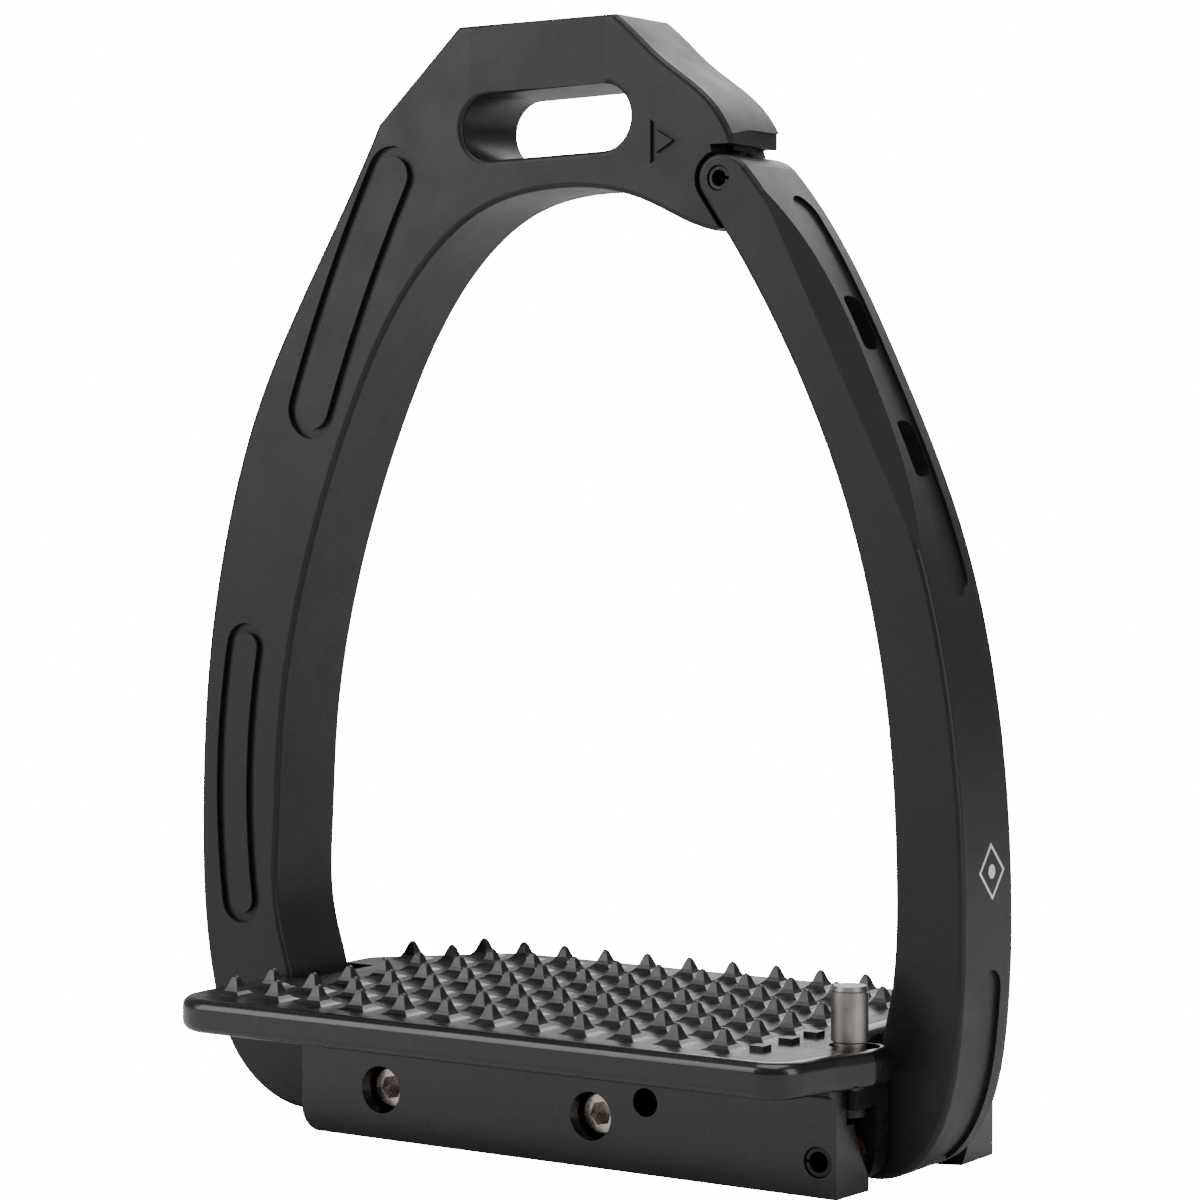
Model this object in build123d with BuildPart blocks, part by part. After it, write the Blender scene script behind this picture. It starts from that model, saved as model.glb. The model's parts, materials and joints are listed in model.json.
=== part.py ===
from build123d import *
from math import cos, pi, radians, sin
import os

# Right-hand safety stirrup iron, in millimetres.
# X+ is the opening (outer) side, Y- the heel side, Y+ the toe side, Z+ up.
# The origin is on the underside of the base, below the middle of the foot opening.

# ---- driving dimensions -------------------------------------------------------------------
half_opening = 60.0  # half of the clear width between the two arms
half_depth = 8.25  # half of the arms' thickness along Y
edge_round = 0.8  # rounding of the frame's and the arm's outer edges
eye_top = 181.2  # top of the iron

slot_length = 32.7  # stirrup leather slot
slot_height = 10.7
slot_x, slot_z, slot_tilt = -4.5, 164.7, 1.5

pin_x, pin_z = 28.3, 154.5  # hinge axis of the outer arm
hinge_pin_radius = 2.0
ear_radius = 3.85
ear_gap = 0.45
lip_z = 159.8  # underside of the lip that stops the opened arm
tongue_half = 3.5  # half of the frame's hinge tongue along Y
ear_inner = 3.75  # inner face of each arm ear

deck_top, deck_bottom = 22.5, 16.9
deck_half, cheek_half = 37.3, 22.0
cheek_left, cheek_right = -43.6, 61.4
bar_top, bar_bottom, bar_end = 16.9, 0.0, 31.0
channel_half = 8.3  # half width of the channel that holds the bar
toe_channel_half = 8.8  # half width of the channel that the arm's toe drops into
rim_round = 1.7

grip_base = 3.0  # thickness of the tread insert's plate
grip_inset = 2.4  # rim left around the tread insert
stud_pitch_x, stud_pitch_y = 8.57, 9.76
stud_columns, stud_rows = 13, 7
stud_centre_x = -0.2
stud_height = 3.2
grip_screw_xs, grip_screw_y = (-42.0, 0.0, 42.0), 27.0

screw_z = 8.1
screw_xs = (-27.4, 13.6)  # the two clamp screws
head_sink = 3.0  # depth of the screw heads below the heel face
lock_x, lock_z = 23.8, 11.3  # grub screw that locks the bar
dowel_xs = (-40.0, 3.0)

lever_x, lever_z = 54.6, 5.4  # axis of the latch lever
lever_pin_radius = 2.4
lever_inner, lever_outer = -9.2, -12.8  # the lever plate's two faces along Y
post_x, post_y, post_radius, post_top = 56.6, -15.9, 2.85, 31.6
post_bottom = 16.3
spring_x, spring_y, spring_radius, spring_wire = 44.0, -11.0, 1.5, 0.28
limb_top = 8.8  # top of the lever's level limb, where the spring stands

os.makedirs("parts", exist_ok=True)


def save(part, name):
    """Label a finished piece and write its STEP file."""
    part.label = name
    export_step(part, f"parts/{name}.step")


def polar(x, z, radius, angle):
    """Point at an angle on a circle about (x, z)."""
    return (x + radius * cos(radians(angle)), z + radius * sin(radians(angle)))


# ---- frame: eye, inner arm and bottom bar in one forging ----------------------------------
ear_pocket = ear_radius + ear_gap
arm_lean = -55.0  # direction of the outer arm's inner edge just below the hinge
ear_tangent = polar(pin_x, pin_z, ear_radius, arm_lean - 90)
pocket_tangent = polar(pin_x, pin_z, ear_pocket, arm_lean - 90)
tongue_radius = 3.4

with BuildSketch() as panel_grooves:
    for start, middle, end, width in (
        ((-35.1, 157.3), (-44.1, 138.6), (-51.9, 118.9), 10.0),
        ((-66.4, 78.4), (-68.8, 56.0), (-67.7, 34.9), 8.2),
    ):
        track = ThreePointArc(start, middle, end, mode=Mode.PRIVATE)
        SlotArc(track, width)
        SlotArc(track, width - 3.4, mode=Mode.SUBTRACT)

with BuildPart() as frame:
    with BuildSketch(Plane.XZ):
        with BuildLine():
            Polyline((-37.8, 166.0), (-21.5, eye_top - 0.2), (9.0, eye_top))
            Spline((9.0, eye_top), (12.6, 178.2), (16.8, 174.4), (25.2, 168.2), (30.4, 161.4))
            Polyline((30.4, 161.4), (30.4, lip_z), (pin_x, lip_z), (pin_x, pin_z + tongue_radius))
            RadiusArc((pin_x, pin_z + tongue_radius), polar(pin_x, pin_z, tongue_radius, -42), tongue_radius)
            Polyline(polar(pin_x, pin_z, tongue_radius, -42), (30.2, 147.4), (27.6, 146.3))
            Spline(
                (27.6, 146.3), (23.2, 147.6), (14.0, 151.7), (-3.0, 154.0), (-17.0, 151.0),
                (-29.0, 142.0), (-43.4, 118.8), (-53.5, 91.8), (-58.9, 65.0), (-half_opening, 47.0),
                (-59.2, 30.5), (-57.0, 22.6), (-52.9, bar_top),
                tangents=((-1, 0.2), (1, -0.9)),
            )
            Polyline((-52.9, bar_top), (bar_end, bar_top), (bar_end, bar_bottom), (-54.0, bar_bottom))
            Spline(
                (-54.0, bar_bottom), (-62.4, 2.3), (-69.6, 8.8), (-73.9, 19.2), (-76.1, 34.0),
                (-76.4, 51.0), (-74.7, 77.0), (-70.7, 98.3), (-63.6, 119.8), (-51.0, 143.0), (-37.8, 166.0),
            )
        make_face()
    extrude(amount=half_depth, both=True)
    face_edges = frame.edges().filter_by(Plane.XZ).filter_by(lambda e: abs(e.center().Y) > half_depth - 0.1)
    fillet(face_edges.filter_by(lambda e: e.length > 20 and abs(e.center().Z - bar_top) > 0.1), edge_round)

    # stirrup leather slot, tilted a little, with rounded rims
    with BuildSketch(Plane.XZ):
        with Locations((slot_x, slot_z)):
            SlotOverall(slot_length, slot_height, rotation=slot_tilt)
    extrude(amount=half_depth, both=True, mode=Mode.SUBTRACT)
    slot_rims = frame.edges().filter_by(
        lambda e: abs(abs(e.center().Y) - half_depth) < 0.01
        and abs(e.center().X - slot_x) < slot_length / 2 + 1
        and abs(e.center().Z - slot_z) < slot_height / 2 + 0.5
    )
    fillet(slot_rims, edge_round)

    # the top bar is a little thinner than the rest, so that the leather lies easily
    with BuildSketch(Plane.XY.offset(slot_z + 3.0)):
        Polygon((-19.0, -half_depth), (7.2, -half_depth + 0.6),
                (7.2, -half_depth - 1), (-19.0, -half_depth - 1),
                align=None)
        Polygon((-19.0, half_depth), (7.2, half_depth - 0.6), (7.2, half_depth + 1), (-19.0, half_depth + 1),
                align=None)
    extrude(amount=20, mode=Mode.SUBTRACT)

    # pockets for the outer arm's two ears, one each side of the tongue
    for plane in (Plane.XZ.offset(tongue_half), Plane.XZ.offset(-half_depth - 1)):
        with BuildSketch(plane):
            with Locations((pin_x, pin_z)):
                Circle(ear_pocket)
            Polygon(
                (pin_x, pin_z), pocket_tangent, (pocket_tangent[0] + 7.0, pocket_tangent[1] - 10.0),
                (40.0, 142.0), (40.0, lip_z), (pin_x - 1.5, lip_z), align=None,
            )
        extrude(amount=half_depth + 1 - tongue_half, mode=Mode.SUBTRACT)

    # room round the top of the tongue for the opened arm's outer skin
    with BuildSketch(Plane.XZ.offset(-tongue_half - 0.3)):
        with Locations((pin_x, pin_z)):
            Circle(ear_pocket + 0.3)
            Circle(tongue_radius, mode=Mode.SUBTRACT)
        Polygon(
            (pin_x, pin_z), polar(pin_x, pin_z, 20, 152), (10.0, 140.0), (45.0, 140.0),
            polar(pin_x, pin_z, 20, -42), align=None, mode=Mode.SUBTRACT,
        )
    extrude(amount=2 * tongue_half + 0.6, mode=Mode.SUBTRACT)
    # the lip's end runs a little askew
    with BuildSketch(Plane.XY.offset(lip_z - 0.5)):
        Polygon((30.5, -half_depth), (34.0, -half_depth), (34.0, half_depth), (29.2, half_depth), align=None)
    extrude(amount=3.0, mode=Mode.SUBTRACT)

    # bore for the hinge bush
    with BuildSketch(Plane.XZ.offset(-half_depth)):
        with Locations((pin_x, pin_z)):
            Circle(hinge_pin_radius + 0.51)
    extrude(amount=2 * half_depth, mode=Mode.SUBTRACT)

    # two racetrack grooves on each face of the inner arm
    for side in (-1, 1):
        with BuildSketch(Plane.XZ.offset(half_depth * -side)):
            add(panel_grooves.sketch)
        extrude(amount=0.9 * side, mode=Mode.SUBTRACT)

    # plain direction mark: a small engraved triangle that points to the opening side
    with BuildSketch(Plane.XZ.offset(half_depth)):
        Polygon((15.8, 164.2), (21.8, 160.7), (15.8, 157.2), align=None)
        Polygon((16.8, 162.5), (19.9, 160.7), (16.8, 158.9), align=None, mode=Mode.SUBTRACT)
    extrude(amount=-0.5, mode=Mode.SUBTRACT)

    # cross holes in the bar for the clamp screws, and the closing buffer's socket
    with BuildSketch(Plane.XZ.offset(-half_depth)):
        with Locations(*[(x, screw_z) for x in screw_xs]):
            Circle(2.15)
    extrude(amount=2 * half_depth, mode=Mode.SUBTRACT)
    with BuildSketch(Plane.YZ.offset(bar_end)):
        with Locations((0, 12.6)):
            Circle(2.0)
    extrude(amount=-3.0, mode=Mode.SUBTRACT)
    with Locations(*[(x, 0, bar_top - 2.0) for x in dowel_xs]):
        Cylinder(2.01, 4.2, mode=Mode.SUBTRACT)
save(frame.part, "frame")

with BuildPart() as hinge_bush:
    with BuildSketch(Plane.XZ.offset(tongue_half)):
        with Locations((pin_x, pin_z)):
            Circle(hinge_pin_radius + 0.5)
            Circle(hinge_pin_radius + 0.04, mode=Mode.SUBTRACT)
    extrude(amount=-2 * tongue_half)
save(hinge_bush.part, "hinge_bush")

with BuildPart() as closing_buffer:
    with BuildSketch(Plane.YZ.offset(bar_end - 2.9)):
        with Locations((0, 12.6)):
            Circle(1.98)
    extrude(amount=2.9)
    with BuildSketch(Plane.YZ.offset(bar_end)):
        with Locations((0, 12.6)):
            Circle(2.9)
    extrude(amount=2.7)
    fillet(closing_buffer.edges().group_by(Axis.X)[-1], 0.9)
save(closing_buffer.part, "closing_buffer")


# ---- outer arm: two ears at the top, a toe that drops into the base -----------------------
def arm_outline(shift_x, shift_z):
    """The outer arm's profile in XZ, moved by a small shift."""
    with BuildSketch() as outline:
        with BuildLine(Location((shift_x, shift_z))):
            inner_start = (31.3, 143.4)
            toe_top = (49.4, 4.0)
            ear_end = (pin_x, pin_z + ear_radius)
            crown = (32.9, 156.5)
            Line(ear_tangent, inner_start)
            Spline(
                inner_start, (42.2, 124.6), (50.2, 106.2), (55.5, 88.0), (58.9, 67.0), (half_opening, 48.0),
                (59.2, 29.4), (57.3, 21.0), (54.2, 12.0), toe_top,
            )
            Polyline(toe_top, (33.8, 4.0), (33.8, 0.6), (57.0, 0.6))
            Spline(
                (57.0, 0.6), (64.0, 3.6), (68.6, 11.0), (71.1, 23.0), (71.8, 44.0), (69.4, 73.0),
                (63.0, 100.0), (52.4, 124.7), (38.2, 149.9), crown,
            )
            ThreePointArc(crown, (31.0, 157.75), ear_end)
            RadiusArc(ear_tangent, ear_end, ear_radius)
        make_face()
    return outline.sketch.face()


emblem_y, emblem_z = 1.2, 48.1


def emblem_outline():
    """Plain diamond frame with a dot in its middle."""
    with BuildSketch() as mark:
        with Locations((emblem_y, emblem_z)):
            Polygon((0, 4.4), (4.2, 0), (0, -4.4), (-4.2, 0))
            Polygon((0, 3.7), (3.5, 0), (0, -3.7), (-3.5, 0), mode=Mode.SUBTRACT)
            Circle(1.1)
    return mark.sketch


with BuildPart() as groove_core:
    with BuildSketch(Plane.XZ):
        add(arm_outline(-0.55, -0.2))
    extrude(amount=half_depth + 2, both=True)

with BuildPart() as toe_core:
    with BuildSketch(Plane.XZ):
        add(arm_outline(-0.6, 0.25))
    extrude(amount=half_depth + 2, both=True)

with BuildPart() as upper_groove:
    with BuildSketch(Plane.YZ.offset(28)):
        with Locations((1.8, 121.0)):
            SlotOverall(62.0, 6.4, rotation=90)
    extrude(amount=60)
    add(groove_core.part, mode=Mode.SUBTRACT)

with BuildPart() as lower_groove:
    with BuildSketch(Plane.YZ.offset(62.5)):
        with Locations((1.2, 12.5)):
            SlotOverall(41.0, 6.4, rotation=90)
    extrude(amount=20)
    add(toe_core.part, mode=Mode.SUBTRACT)

with BuildPart() as emblem_core:
    with BuildSketch(Plane.XZ):
        add(arm_outline(-0.3, 0))
    extrude(amount=half_depth + 2, both=True)

with BuildPart() as emblem:
    with BuildSketch(Plane.XZ):
        add(arm_outline(0, 0))
    extrude(amount=half_depth, both=True)
    with BuildSketch(Plane.YZ.offset(62)):
        add(emblem_outline())
    extrude(amount=20, mode=Mode.INTERSECT)
    add(emblem_core.part, mode=Mode.SUBTRACT)
save(emblem.part, "emblem")

with BuildPart() as outer_arm:
    with BuildSketch(Plane.XZ):
        add(arm_outline(0, 0))
    extrude(amount=half_depth, both=True)
    long_edges = outer_arm.edges().filter_by(Plane.XZ).filter_by(lambda e: e.length > 100)
    fillet(long_edges, edge_round)
    # long crescent facet where the heel face meets the outer face
    split(
        bisect_by=Plane(origin=(33.6, -half_depth, 157.3),
                        x_dir=(0.447, 0, -0.894), z_dir=(0.894, -0.42, 0.447)),
        keep=Keep.BOTTOM,
    )
    add(upper_groove.part, mode=Mode.SUBTRACT)
    add(lower_groove.part, mode=Mode.SUBTRACT)
    # two lightening slots through the arm, inside the upper groove
    for centre, angle in (((48.4, 132.1), 29), ((58.0, 112.7), 22)):
        slot_plane = Plane(
            origin=(centre[0], 1.8, centre[1]), x_dir=(sin(radians(angle)), 0, -cos(radians(angle))),
            z_dir=(cos(radians(angle)), 0, sin(radians(angle))),
        )
        with BuildSketch(slot_plane):
            RectangleRounded(9.4, 5.6, 2.2)
        extrude(amount=20, both=True, mode=Mode.SUBTRACT)
    # clevis gap between the two ears
    with BuildSketch(Plane.XZ):
        with Locations((pin_x, pin_z)):
            Circle(tongue_radius + 0.2)
        Polygon(
            (20.0, 160.5), (pin_x, 160.5), (pin_x, pin_z),
            (pin_x + tongue_radius + 0.1, pin_z), (32.3, 151.0),
            (31.2, 145.4), (20.0, 145.4), align=None,
        )
    extrude(amount=ear_inner, both=True, mode=Mode.SUBTRACT)
    with BuildSketch(Plane.XZ.offset(-half_depth)):
        with Locations((pin_x, pin_z)):
            Circle(hinge_pin_radius + 0.01)
    extrude(amount=2 * half_depth, mode=Mode.SUBTRACT)
    # threaded holes for the strike plate's screws
    with BuildSketch(Plane.XY.offset(4.0)):
        with Locations((43.4, 0), (46.6, 0)):
            Circle(1.0)
    extrude(amount=-2.4, mode=Mode.SUBTRACT)
    add(emblem.part, mode=Mode.SUBTRACT)
save(outer_arm.part, "outer_arm")

with BuildPart() as hinge_pin:
    with BuildSketch(Plane.XZ.offset(half_depth - 0.3)):
        with Locations((pin_x, pin_z)):
            Circle(hinge_pin_radius)
            Circle(hinge_pin_radius - 0.7, mode=Mode.SUBTRACT)
        with Locations((pin_x + 1.5, pin_z)):
            Rectangle(2.0, 0.5, mode=Mode.SUBTRACT)
    extrude(amount=-2 * (half_depth - 0.3))
    pin_ends = hinge_pin.edges().filter_by(GeomType.CIRCLE)
    pin_ends = pin_ends.filter_by(lambda e: e.radius > hinge_pin_radius - 0.1)
    chamfer(pin_ends, 0.2)
save(hinge_pin.part, "hinge_pin")

with BuildPart() as hinge_shims:
    for plane in (Plane.XZ.offset(tongue_half + 0.03), Plane.XZ.offset(-tongue_half - 0.22)):
        with BuildSketch(plane):
            with Locations((pin_x, pin_z)):
                Circle(tongue_radius - 0.1)
                Circle(hinge_pin_radius + 0.03, mode=Mode.SUBTRACT)
        extrude(amount=0.19)
save(hinge_shims.part, "hinge_shims")

# hardened catch on top of the toe, with the tooth that the latch holds
with BuildPart() as strike_plate:
    with BuildSketch(Plane.XZ):
        Polygon(
            (33.8, 4.0), (48.6, 4.0), (48.6, 5.2), (36.0, 5.2), (36.0, 6.9),
            (34.6, 6.9), (33.8, 6.1), align=None,
        )
    extrude(amount=5.5, both=True)
    with Locations((43.4, 0, 5.2), (46.6, 0, 5.2)):
        CounterSinkHole(radius=1.05, counter_sink_radius=1.55, depth=2)
save(strike_plate.part, "strike_plate")

with BuildPart() as strike_screws:
    with BuildSketch(Plane.XZ):
        with BuildLine():
            Polyline((43.4, 1.9), (44.38, 1.9), (44.38, 4.7), (44.86, 5.18), (43.4, 5.18), (43.4, 1.9))
        make_face()
    revolve(axis=Axis((43.4, 0, 0), (0, 0, 1)))
    with BuildSketch(Plane.XY.offset(5.18)):
        with Locations((43.4, 0)):
            RegularPolygon(0.65, 6, major_radius=False)
    extrude(amount=-0.8, mode=Mode.SUBTRACT)
    add(strike_screws.part.moved(Location((3.2, 0, 0))))
save(strike_screws.part, "strike_screws")


# ---- foot bed: deck with a rolled rim, two cheeks and the channel between them ------------
def deck_plan():
    """Plan of the deck, with a notch for each arm."""
    with BuildSketch() as plan:
        Polygon(
            (-60.6, -deck_half), (57.2, -deck_half), (60.2, -26.0), (62.8, -19.0), (62.8, -11.0),
            (51.6, -11.0), (51.6, 11.0), (61.0, 11.0), (59.0, 20.0), (54.5, 32.0),
            (50.0, deck_half), (-41.0, deck_half), (-60.6, 18.0), (-60.6, 9.6), (-52.6, 9.6),
            (-52.6, -9.6), (-60.6, -9.6), align=None,
        )
        fillet(plan.vertices().filter_by(lambda v: abs(v.Y) > 37 and v.X < -30), 8.0)
        fillet(plan.vertices().filter_by(lambda v: v.Y < -37 and v.X > 56), 6.0)
        fillet(plan.vertices().filter_by(lambda v: abs(v.Y - 18) < 0.1 and v.X < -60), 5.0)
        fillet(plan.vertices().filter_by(lambda v: abs(abs(v.Y) - 11) < 0.1), 3.0)
    return plan.sketch


def grip_plan(gap):
    """Plan of the tread insert: the deck's plan less the rim, the arms and the post's end piece."""
    with BuildSketch() as plan:
        add(deck_plan())
        offset(amount=-grip_inset - gap)
        with Locations((-60.0, 0)):
            Rectangle(19.0 + 2 * gap, 24.0 + 2 * gap, mode=Mode.SUBTRACT)
        with Locations((60.0, 0)):
            Rectangle(20.0 + 2 * gap, 42.0 + 2 * gap, mode=Mode.SUBTRACT)
    return plan.sketch


with BuildPart() as foot_bed:
    with BuildSketch(Plane.XY.offset(deck_bottom)):
        add(deck_plan())
    extrude(amount=deck_top - deck_bottom)
    rims = foot_bed.edges().filter_by(Plane.XY).filter_by(lambda e: abs(e.center().Y) > 11.1)
    fillet(rims.filter_by(lambda e: abs(e.center().Z - deck_top) < 0.01), rim_round)
    rims = foot_bed.edges().filter_by(Plane.XY).filter_by(lambda e: abs(e.center().Y) > 11.1)
    fillet(rims.filter_by(lambda e: abs(e.center().Z - deck_bottom) < 0.01), rim_round)
    # two cheeks under the deck, with a cove up to its underside
    with BuildSketch(Plane.XZ.offset(-cheek_half)):
        with BuildLine():
            Polyline((cheek_left, deck_bottom + 0.5), (cheek_left, 3.6))
            RadiusArc((cheek_left, 3.6), (cheek_left + 3.6, 0.0), -3.6)
            Polyline(
                (cheek_left + 3.6, 0.0), (cheek_right, 0.0), (cheek_right, deck_bottom + 0.5),
                (cheek_left, deck_bottom + 0.5),
            )
        make_face()
    extrude(amount=2 * cheek_half)
    for side in (-1, 1):
        with BuildSketch(Plane.YZ.offset(cheek_left)):
            with BuildLine():
                RadiusArc((side * cheek_half, 15.2), (side * (cheek_half + 2.3), 17.5), -2.3 * side)
                Polyline((side * (cheek_half + 2.3), 17.5), (side * (cheek_half - 1), 17.5),
                         (side * (cheek_half - 1), 15.2), (side * cheek_half, 15.2))
            make_face()
        extrude(amount=cheek_right - cheek_left - 2)
    with BuildSketch(Plane.XY.offset(-1)):
        Polygon((57.4, -cheek_half - 6), (64.0, -cheek_half - 6), (64.0, 0), (59.4, 0), align=None)
    extrude(amount=bar_top + 1, mode=Mode.SUBTRACT)
    # channel for the bar, and the wider one for the toe
    with Locations((-25.0, 0, bar_top / 2 - 1)):
        Box(113.0, 2 * channel_half, bar_top + 2, mode=Mode.SUBTRACT)
    with Locations((48.0, 0, bar_top / 2 - 1)):
        Box(33.0, 2 * toe_channel_half, bar_top + 2, mode=Mode.SUBTRACT)
    with Locations((58.1, 0, bar_top + 0.5)):
        Box(13.0, 22.0, 2.0, mode=Mode.SUBTRACT)
    # flared mouth that leads the toe in
    for side, mouth_x in ((-1, 58.6), (1, 61.6)):
        with BuildSketch(Plane.YZ.offset(mouth_x)):
            with BuildLine():
                Polyline((side * 7.0, -1.0), (side * 10.6, -1.0))
                ThreePointArc((side * 10.6, -1.0), (side * 15.4, 5.6), (side * 19.2, bar_top))
                Polyline((side * 19.2, bar_top), (side * 7.0, bar_top), (side * 7.0, -1.0))
            make_face()
        with BuildSketch(Plane.YZ.offset(mouth_x - 8.0)):
            with BuildLine():
                Polyline((side * 7.0, -1.0), (side * 8.8, -1.0))
                ThreePointArc((side * 8.8, -1.0), (side * 8.9, 7.0), (side * 9.2, bar_top))
                Polyline((side * 9.2, bar_top), (side * 7.0, bar_top), (side * 7.0, -1.0))
            make_face()
        loft(mode=Mode.SUBTRACT)
    # recess for the tread insert
    with BuildSketch(Plane.XY.offset(deck_top - grip_base)):
        add(grip_plan(0))
    extrude(amount=grip_base + 1, mode=Mode.SUBTRACT)
    # tread insert's screw holes, counterbored from below
    for x in grip_screw_xs:
        for y in (-grip_screw_y, grip_screw_y):
            with Locations((x, y, 18.5)):
                Cylinder(1.6, 6, mode=Mode.SUBTRACT)
            with Locations((x, y, 17.0)):
                Cylinder(2.8, 3.2, mode=Mode.SUBTRACT)
    # clamp screws: counterbores at the heel side, insert holes at the toe side
    with BuildSketch(Plane.XZ.offset(-cheek_half)):
        with Locations(*[(x, screw_z) for x in screw_xs]):
            Circle(2.15)
    extrude(amount=2 * cheek_half, mode=Mode.SUBTRACT)
    with BuildSketch(Plane.XZ.offset(cheek_half)):
        with Locations(*[(x, screw_z) for x in screw_xs]):
            Circle(3.85)
    extrude(amount=-head_sink - 4.0, mode=Mode.SUBTRACT)
    with BuildSketch(Plane.XZ.offset(-cheek_half)):
        with Locations(*[(x, screw_z) for x in screw_xs]):
            Circle(3.01)
    extrude(amount=9.5, mode=Mode.SUBTRACT)
    # hole of the locking grub screw
    with BuildSketch(Plane.XZ.offset(cheek_half)):
        with Locations((lock_x, lock_z)):
            Circle(2.25)
    extrude(amount=-(cheek_half - channel_half), mode=Mode.SUBTRACT)
    # dowel holes
    with Locations(*[(x, 0, 17.9) for x in dowel_xs]):
        Cylinder(2.02, 2.2, mode=Mode.SUBTRACT)
    # latch: lever bay, post boss bay, post slot and pin hole
    with Locations((49.0, -10.4, 8.1)):
        Box(29.0, 5.4, 17.6, mode=Mode.SUBTRACT)
    with Locations((57.2, -14.5, 13.9)):
        Box(11.0, 9.6, 6.0, mode=Mode.SUBTRACT)
    with BuildSketch(Plane.XY.offset(bar_top - 0.5)):
        with Locations((post_x + 0.85, post_y)):
            SlotOverall(2 * post_radius + 2.3, 2 * post_radius + 0.6)
    extrude(amount=7, mode=Mode.SUBTRACT)
    with BuildSketch(Plane.XZ.offset(cheek_half)):
        with Locations((lever_x, lever_z)):
            Circle(lever_pin_radius + 0.01)
    extrude(amount=-10, mode=Mode.SUBTRACT)
save(foot_bed.part, "foot_bed")

# ---- tread insert -------------------------------------------------------------------------
with BuildPart() as stud:
    for level, half in (
        (-0.2, 2.9), (0.0, 2.75), (0.28, 2.0), (0.75, 1.42), (1.35, 1.05), (2.0, 0.8), (2.6, 0.58),
        (3.0, 0.36), (stud_height, 0.16),
    ):
        with BuildSketch(Plane.XY.offset(deck_top + level)):
            Rectangle(2 * half, 2 * half)
    loft(ruled=True)

with BuildPart() as grip_plate:
    with BuildSketch(Plane.XY.offset(deck_top - grip_base + 0.02)):
        add(grip_plan(0.08))
    extrude(amount=grip_base - 0.02)
    stud_places = []
    for column in range(stud_columns):
        for row in range(stud_rows):
            x = stud_centre_x + (column - (stud_columns - 1) / 2) * stud_pitch_x
            y = (row - (stud_rows - 1) / 2) * stud_pitch_y
            beside_arm = abs(y) < 13 and abs(x) > 48.0
            beside_post = -32 < y < 22 and x > 48.0
            rear_corner = y > 15 and x < -62.0 + (y - 15) * 0.6
            if not (beside_arm or beside_post or rear_corner):
                stud_places.append((x, y))
    with Locations(*stud_places):
        add(stud.part)
    # low stubs where the pattern runs out beside the post
    with Locations((47.8, -27.4, deck_top), (48.0, -19.3, deck_top), (48.2, -12.1, deck_top)):
        Box(2.4, 2.4, 1.7)
    with BuildSketch(Plane.XY.offset(deck_top - grip_base)):
        add(grip_plan(0.08))
    extrude(amount=grip_base + stud_height + 1, mode=Mode.INTERSECT)
    for x in grip_screw_xs:
        for y in (-grip_screw_y, grip_screw_y):
            with Locations((x, y, 20.5)):
                Cylinder(1.42, 2.2, mode=Mode.SUBTRACT)
save(grip_plate.part, "grip_plate")

with BuildPart() as grip_screws:
    for x in grip_screw_xs:
        for y in (-grip_screw_y, grip_screw_y):
            with Locations((x, y, 17.9)):
                Cylinder(2.6, 1.3)
            with Locations((x, y, 19.9)):
                Cylinder(1.4, 3.0)
            with Locations((x, y, 17.25)):
                Box(0.7, 3.0, 0.9, mode=Mode.SUBTRACT)
                Box(3.0, 0.7, 0.9, mode=Mode.SUBTRACT)
save(grip_screws.part, "grip_screws")

# ---- fasteners that clamp the bed to the frame's bar --------------------------------------
head_face = cheek_half - head_sink
with BuildPart() as clamp_screws:
    for x in screw_xs:
        with BuildSketch(Plane.XZ.offset(head_face)):
            with Locations((x, screw_z)):
                Circle(3.5)
        extrude(amount=-4.0)
        with BuildSketch(Plane.XZ.offset(head_face - 4.0)):
            with Locations((x, screw_z)):
                Circle(2.0)
        extrude(amount=-34.5)
    fillet(clamp_screws.edges().filter_by(lambda e: abs(e.center().Y + head_face) < 0.01), 0.5)
    with BuildSketch(Plane.XZ.offset(head_face)):
        with Locations(*[(x, screw_z) for x in screw_xs]):
            RegularPolygon(1.75, 6, major_radius=False, rotation=12)
    extrude(amount=-2.6, mode=Mode.SUBTRACT)
save(clamp_screws.part, "clamp_screws")

with BuildPart() as thread_inserts:
    with BuildSketch(Plane.XZ.offset(-cheek_half + 0.4)):
        with Locations(*[(x, screw_z) for x in screw_xs]):
            Circle(3.0)
            Circle(2.03, mode=Mode.SUBTRACT)
    extrude(amount=9.0)
save(thread_inserts.part, "thread_inserts")

with BuildPart() as locating_dowels:
    with Locations(*[(x, 0, (bar_top - 4.0 + 18.9) / 2) for x in dowel_xs]):
        Cylinder(2.0, 6.0)
    chamfer(locating_dowels.edges().filter_by(GeomType.CIRCLE), 0.3)
save(locating_dowels.part, "locating_dowels")

with BuildPart() as lock_screw:
    with BuildSketch(Plane.XZ.offset(channel_half + 5.5)):
        with Locations((lock_x, lock_z)):
            Circle(2.24)
            RegularPolygon(1.0, 6, major_radius=False, mode=Mode.SUBTRACT)
    extrude(amount=-2.6)
    with BuildSketch(Plane.XZ.offset(channel_half + 2.9)):
        with Locations((lock_x, lock_z)):
            Circle(2.24)
    extrude(amount=-2.8)
save(lock_screw.part, "lock_screw")

# ---- latch: lever, bush, pin, post, spring ------------------------------------------------
lever_span = lever_inner - lever_outer

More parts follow.
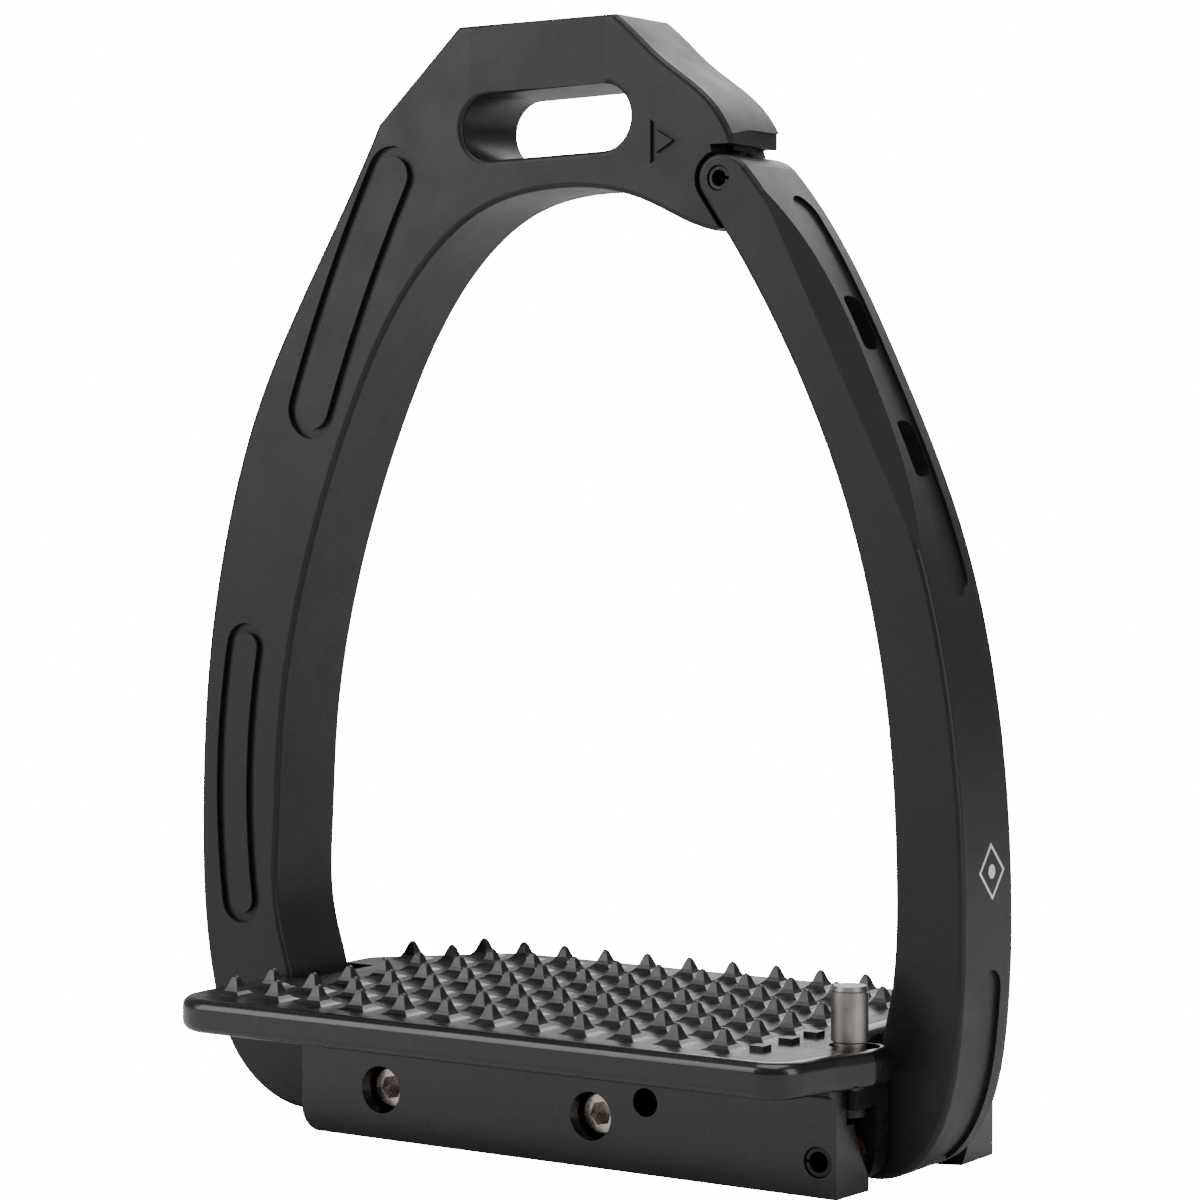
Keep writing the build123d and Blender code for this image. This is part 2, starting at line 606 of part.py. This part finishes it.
with BuildPart() as release_lever:
    with BuildSketch(Plane.XZ.offset(-lever_inner)):
        with Locations((lever_x, lever_z)):
            Circle(4.7)
        Polygon(
            (36.3, 5.5), (50.6, 3.2), (lever_x, lever_z), (post_x + 3.0, lever_z + 1.0),
            (post_x + 3.0, post_bottom),
            (post_x - 3.4, post_bottom), (post_x - 3.4, limb_top), (36.3, limb_top), align=None,
        )
    extrude(amount=lever_span)
    # boss under the post
    with Locations((post_x - 0.2, (post_y - 3.0 + lever_inner) / 2, (13.2 + post_bottom) / 2)):
        Box(6.4, lever_inner - post_y + 3.0, post_bottom - 13.2)
    # hook that reaches over the toe
    with Locations((38.0, -5.4, (5.5 + limb_top) / 2)):
        Box(3.4, 7.8, limb_top - 5.5)
    with BuildSketch(Plane.XZ.offset(-lever_inner)):
        with Locations((lever_x, lever_z)):
            Circle(lever_pin_radius + 0.86)
    extrude(amount=lever_span, mode=Mode.SUBTRACT)
    with Locations((post_x, post_y, 14.5)):
        Cylinder(1.52, 6, mode=Mode.SUBTRACT)
    with Locations((spring_x, spring_y, limb_top - 1.0)):
        Cylinder(0.81, 2.02, mode=Mode.SUBTRACT)
save(release_lever.part, "release_lever")

with BuildPart() as lever_bush:
    with BuildSketch(Plane.XZ.offset(-lever_inner)):
        with Locations((lever_x, lever_z)):
            Circle(lever_pin_radius + 0.85)
            Circle(lever_pin_radius + 0.04, mode=Mode.SUBTRACT)
    extrude(amount=lever_span)
save(lever_bush.part, "lever_bush")

with BuildPart() as lever_pin:
    with BuildSketch(Plane.XZ.offset(cheek_half - 0.3)):
        with Locations((lever_x, lever_z)):
            Circle(lever_pin_radius)
            Circle(lever_pin_radius - 0.8, mode=Mode.SUBTRACT)
        with Locations((lever_x - 1.9, lever_z)):
            Rectangle(2.2, 0.5, mode=Mode.SUBTRACT)
    extrude(amount=-(cheek_half - 0.3 + lever_inner) - 0.2)
    pin_ends = lever_pin.edges().filter_by(GeomType.CIRCLE)
    pin_ends = pin_ends.filter_by(lambda e: e.radius > lever_pin_radius - 0.1)
    chamfer(pin_ends, 0.2)
save(lever_pin.part, "lever_pin")

with BuildPart() as release_post:
    with BuildSketch(Plane.XZ.offset(-post_y)):
        with BuildLine():
            Polyline(
                (post_x, post_bottom), (post_x + 2.5, post_bottom), (post_x + 2.5, deck_top + 0.5),
                (post_x + post_radius, deck_top + 0.75), (post_x + post_radius, post_top - 0.9),
                (post_x + post_radius - 0.12, post_top - 0.8), (post_x + post_radius, post_top - 0.65),
                (post_x + post_radius - 0.35, post_top), (post_x, post_top), (post_x, post_bottom),
            )
        make_face()
    revolve(axis=Axis((post_x, post_y, 0), (0, 0, 1)))
    with Locations((post_x, post_y, (post_bottom + 20.8) / 2)):
        Cylinder(1.52, 20.8 - post_bottom, mode=Mode.SUBTRACT)
save(release_post.part, "release_post")

with BuildPart() as post_screw:
    with Locations((post_x, post_y, 12.5)):
        Cylinder(2.5, 1.36)
    with Locations((post_x, post_y, 16.9)):
        Cylinder(1.5, 7.6)
    with BuildSketch(Plane.XY.offset(11.82)):
        with Locations((post_x, post_y)):
            RegularPolygon(1.0, 6, major_radius=False)
    extrude(amount=0.8, mode=Mode.SUBTRACT)
save(post_screw.part, "post_screw")

with BuildPart() as spring_peg:
    with Locations((spring_x, spring_y, limb_top + 0.2)):
        Cylinder(0.8, 4.4)
    chamfer(spring_peg.edges().group_by(Axis.Z)[-1], 0.2)
save(spring_peg.part, "spring_peg")

spring_low, spring_high = limb_top + spring_wire, bar_top - spring_wire
with BuildPart() as return_spring:
    with BuildLine():
        Helix(
            pitch=(spring_high - spring_low) / 6, height=spring_high - spring_low, radius=spring_radius,
            center=(spring_x, spring_y, spring_low),
        )
    wire_start = (spring_x + spring_radius, spring_y, spring_low)
    with BuildSketch(Plane(wire_start, x_dir=(1, 0, 0), z_dir=(0, 1, 0))):
        Circle(spring_wire)
    sweep(is_frenet=True)
save(return_spring.part, "return_spring")
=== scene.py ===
import json
import math

import bpy
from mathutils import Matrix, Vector


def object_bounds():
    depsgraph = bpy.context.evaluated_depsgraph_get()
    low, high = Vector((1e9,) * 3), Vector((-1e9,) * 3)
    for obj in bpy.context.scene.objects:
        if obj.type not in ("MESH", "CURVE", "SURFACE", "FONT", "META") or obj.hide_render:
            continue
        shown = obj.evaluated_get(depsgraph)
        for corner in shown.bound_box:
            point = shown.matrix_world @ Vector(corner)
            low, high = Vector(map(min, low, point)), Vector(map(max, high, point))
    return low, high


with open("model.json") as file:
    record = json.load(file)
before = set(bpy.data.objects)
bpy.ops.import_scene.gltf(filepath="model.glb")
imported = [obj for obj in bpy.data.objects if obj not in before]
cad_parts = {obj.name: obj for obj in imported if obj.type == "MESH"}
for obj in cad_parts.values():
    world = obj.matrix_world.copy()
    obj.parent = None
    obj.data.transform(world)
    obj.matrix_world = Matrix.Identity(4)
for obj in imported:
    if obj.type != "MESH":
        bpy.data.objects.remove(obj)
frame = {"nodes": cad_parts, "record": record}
cad_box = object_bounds()
nodes = frame["nodes"]
scene = bpy.context.scene

# Camera: heel side of the iron, seen a little from the outer side and just above the tread.
CAMERA_AT = (0.3199, -0.4820, 0.1140)
CAMERA_TARGET = (0.0012, -0.0005, 0.0878)
CAMERA_LENS_MM = 106.8
CAMERA_SENSOR_MM = 36.0
CAMERA_CLIP_START = 0.01

# Noise textures keep mostly between these two values, so ramps and ranges are set to them.
NOISE_LOW = 0.3
NOISE_HIGH = 0.7
SMUDGE_RATIO = 2.3  # smudges in the gloss are finer than the colour patches by this much
GRAIN_DEPTH = 0.0002
WAVE_DEPTH = 0.001
WAVE_SCALE = 90.0
COAT_IOR = 1.5


# ---- materials ----------------------------------------------------------------------------
class Graph:
    """A node material that reads the object's own coordinates."""

    def __init__(self, name):
        self.material = bpy.data.materials.new(name)
        self.material.use_nodes = True
        self.tree = self.material.node_tree
        self.tree.nodes.clear()
        out = self.add("ShaderNodeOutputMaterial")
        self.shader = self.add("ShaderNodeBsdfPrincipled")
        self.link(self.shader.outputs["BSDF"], out.inputs["Surface"])
        self.coords = self.add("ShaderNodeTexCoord").outputs["Object"]

    def add(self, kind):
        return self.tree.nodes.new(kind)

    def link(self, source, target):
        self.tree.links.new(source, target)

    def stretched(self, scale):
        """The object's coordinates, scaled by a different amount along each axis."""
        mapping = self.add("ShaderNodeMapping")
        mapping.inputs["Scale"].default_value = scale
        self.link(self.coords, mapping.inputs["Vector"])
        return mapping.outputs["Vector"]

    def noise(self, scale, detail, rough=0.55, vector=None):
        """Smooth noise between 0 and 1."""
        node = self.add("ShaderNodeTexNoise")
        node.inputs["Scale"].default_value = scale
        node.inputs["Detail"].default_value = detail
        node.inputs["Roughness"].default_value = rough
        self.link(vector or self.coords, node.inputs["Vector"])
        return node.outputs["Fac"]

    def ramp(self, value, low, high):
        """A colour between low and high, chosen by a noise value."""
        node = self.add("ShaderNodeValToRGB")
        node.color_ramp.elements[0].position = NOISE_LOW
        node.color_ramp.elements[0].color = (*low, 1.0)
        node.color_ramp.elements[1].position = NOISE_HIGH
        node.color_ramp.elements[1].color = (*high, 1.0)
        self.link(value, node.inputs["Fac"])
        return node.outputs["Color"]

    def remap(self, value, low, high):
        """A number between low and high, chosen by a noise value."""
        node = self.add("ShaderNodeMapRange")
        node.inputs["From Min"].default_value = NOISE_LOW
        node.inputs["From Max"].default_value = NOISE_HIGH
        node.inputs["To Min"].default_value = low
        node.inputs["To Max"].default_value = high
        self.link(value, node.inputs["Value"])
        return node.outputs["Result"]

    def bump(self, height, strength, distance, below=None):
        """A bumpy normal, laid over the one below where that is given."""
        node = self.add("ShaderNodeBump")
        node.inputs["Strength"].default_value = strength
        node.inputs["Distance"].default_value = distance
        self.link(height, node.inputs["Height"])
        if below is not None:
            self.link(below, node.inputs["Normal"])
        return node.outputs["Normal"]


def finish_material(
    name, low, high, rough, metallic=0.0, patch=60.0, grain=2500.0, grain_strength=0.05,
    wave=0.0, coat=0.0, coat_rough=0.1, stretch=None, shine=0.5,
):
    """A surface with slow colour patches, uneven gloss, a fine grain and, on request, a slow wave."""
    g = Graph(name)
    patches = g.noise(patch, detail=4.0)
    g.link(g.ramp(patches, low, high), g.shader.inputs["Base Color"])
    smudges = g.noise(patch * SMUDGE_RATIO, detail=5.0, rough=0.6)
    g.link(g.remap(smudges, *rough), g.shader.inputs["Roughness"])
    vector = g.stretched(stretch) if stretch else None
    normal = g.bump(g.noise(grain, detail=2.0, vector=vector), grain_strength, GRAIN_DEPTH)
    if wave:
        normal = g.bump(g.noise(WAVE_SCALE, detail=1.0), wave, WAVE_DEPTH, below=normal)
    g.link(normal, g.shader.inputs["Normal"])
    g.shader.inputs["Metallic"].default_value = metallic
    g.shader.inputs["IOR"].default_value = COAT_IOR
    g.shader.inputs["Specular IOR Level"].default_value = shine
    g.shader.inputs["Coat Weight"].default_value = coat
    g.shader.inputs["Coat Roughness"].default_value = coat_rough
    return g.material


MATERIALS = {
    "dark_satin": finish_material(
        "satin charcoal coat", (0.0125, 0.0108, 0.0098), (0.0165, 0.0145, 0.0132), (0.34, 0.44),
        patch=45.0, grain_strength=0.06, wave=0.03, shine=0.4,
    ),
    "black_gloss": finish_material(
        "gloss black coat", (0.0035, 0.0030, 0.0028), (0.0060, 0.0050, 0.0046), (0.2, 0.3),
        patch=55.0, grain_strength=0.04, wave=0.06, coat=0.4, coat_rough=0.12,
    ),
    "black_tread": finish_material(
        "gloss black tread", (0.0042, 0.0037, 0.0034), (0.0070, 0.0062, 0.0058), (0.26, 0.38),
        patch=160.0, grain_strength=0.08, wave=0.10, coat=0.25, coat_rough=0.16,
    ),
    "steel": finish_material(
        "stainless steel", (0.52, 0.46, 0.40), (0.66, 0.60, 0.53), (0.18, 0.32),
        metallic=1.0, patch=300.0, grain=1200.0, grain_strength=0.12, stretch=(1.0, 0.1, 1.0),
    ),
    "post_steel": finish_material(
        "matte stainless steel", (0.30, 0.275, 0.26), (0.40, 0.37, 0.35), (0.36, 0.5),
        metallic=1.0, patch=200.0, grain=1600.0, grain_strength=0.15, stretch=(1.0, 1.0, 0.15),
    ),
    "black_steel": finish_material(
        "blackened steel", (0.03, 0.03, 0.032), (0.05, 0.05, 0.052), (0.3, 0.45),
        metallic=0.9, patch=200.0,
    ),
    "bronze": finish_material(
        "bearing bronze", (0.42, 0.25, 0.11), (0.55, 0.35, 0.17), (0.25, 0.4),
        metallic=1.0, patch=300.0,
    ),
    "rubber_black": finish_material(
        "black rubber", (0.014, 0.014, 0.014), (0.022, 0.022, 0.022), (0.6, 0.75), patch=200.0,
        grain_strength=0.15,
    ),
    "white_inlay": finish_material(
        "white enamel", (0.72, 0.71, 0.69), (0.80, 0.79, 0.77), (0.25, 0.35), patch=400.0,
    ),
}

for entry in frame["record"]["subparts"]:
    material = MATERIALS[entry["material_slot"]]
    mesh_object = nodes[entry["node"]]
    if not mesh_object.material_slots:
        mesh_object.data.materials.append(material)
    for material_slot in mesh_object.material_slots:
        material_slot.material = material

# ---- floor, background and lights ---------------------------------------------------------
SWEEP_FRONT = -2.5  # where the floor begins, on the camera's side
SWEEP_START = 1.1  # where the floor starts to curve up behind the object
SWEEP_RADIUS = 0.9
SWEEP_HEIGHT = 3.0
SWEEP_HALF_WIDTH = 4.0
SWEEP_STEPS = 24
FLOOR_GAP = 0.0002  # keeps the floor just under the object's underside
PAPER_GLOW = 24.0
WORLD_STRENGTH = 0.22


def studio_sweep():
    """A pale floor that curves up into a backdrop, square to the camera."""
    profile = [(SWEEP_FRONT, 0.0), (SWEEP_START, 0.0)]
    for step in range(1, SWEEP_STEPS + 1):
        angle = math.pi / 2 * step / SWEEP_STEPS
        along = SWEEP_START + SWEEP_RADIUS * math.sin(angle)
        profile.append((along, SWEEP_RADIUS * (1 - math.cos(angle))))
    profile.append((SWEEP_START + SWEEP_RADIUS, SWEEP_HEIGHT))
    points = [(side * SWEEP_HALF_WIDTH, y, z) for y, z in profile for side in (-1, 1)]
    faces = [(2 * i, 2 * i + 1, 2 * i + 3, 2 * i + 2) for i in range(len(profile) - 1)]
    mesh = bpy.data.meshes.new("studio_sweep")
    mesh.from_pydata(points, [], faces)
    for face in mesh.polygons:
        face.use_smooth = True
    sweep = bpy.data.objects.new("studio_sweep", mesh)
    sweep.rotation_euler.z = math.atan2(CAMERA_AT[0], -CAMERA_AT[1])
    sweep.location.z = cad_box[0][2] - FLOOR_GAP
    scene.collection.objects.link(sweep)
    pale = finish_material(
        "pale studio paper", (0.80, 0.80, 0.80), (0.82, 0.82, 0.82), (0.7, 0.8),
        patch=3.0, grain=200.0, grain_strength=0.0,
    )
    # the paper glows for the camera alone, so that it looks white without lighting the object
    tree = pale.node_tree
    shader = tree.nodes["Principled BSDF"]
    glow = tree.nodes.new("ShaderNodeMath")
    glow.operation = "MULTIPLY"
    glow.inputs[1].default_value = PAPER_GLOW
    tree.links.new(tree.nodes.new("ShaderNodeLightPath").outputs["Is Camera Ray"], glow.inputs[0])
    tree.links.new(glow.outputs["Value"], shader.inputs["Emission Strength"])
    shader.inputs["Emission Color"].default_value = (1.0, 1.0, 1.0, 1.0)
    sweep.data.materials.append(pale)


studio_sweep()

world = bpy.data.worlds.new("studio")
world.use_nodes = True
scene.world = world
background = world.node_tree.nodes["Background"]
background.inputs["Color"].default_value = (1.0, 1.0, 1.0, 1.0)
background.inputs["Strength"].default_value = WORLD_STRENGTH


def aimed(location, target):
    """The rotation that points a light or camera at the target."""
    return (Vector(target) - Vector(location)).to_track_quat("-Z", "Y").to_euler()


def softbox(name, location, width, height, power):
    """A rectangular light, aimed at the middle of the object."""
    light = bpy.data.lights.new(name, "AREA")
    light.shape = "RECTANGLE"
    light.size = width
    light.size_y = height
    light.energy = power
    holder = bpy.data.objects.new(name, light)
    holder.location = location
    holder.rotation_euler = aimed(location, MIDDLE)
    scene.collection.objects.link(holder)


MIDDLE = (0.0, 0.0, 0.09)
softbox("top", (0.0, -0.1, 1.1), 0.9, 0.9, 7.0)
softbox("front_left", (-0.75, -0.85, 0.55), 0.6, 0.9, 6.0)
softbox("right", (1.0, -0.15, 0.45), 0.5, 0.9, 4.0)
softbox("back", (-0.2, 1.0, 0.6), 0.9, 0.6, 5.0)

camera = bpy.data.objects.new("camera", bpy.data.cameras.new("camera"))
camera.data.sensor_width = CAMERA_SENSOR_MM
camera.data.lens = CAMERA_LENS_MM
camera.data.clip_start = CAMERA_CLIP_START
camera.location = CAMERA_AT
camera.rotation_euler = aimed(CAMERA_AT, CAMERA_TARGET)
scene.collection.objects.link(camera)
scene.camera = camera
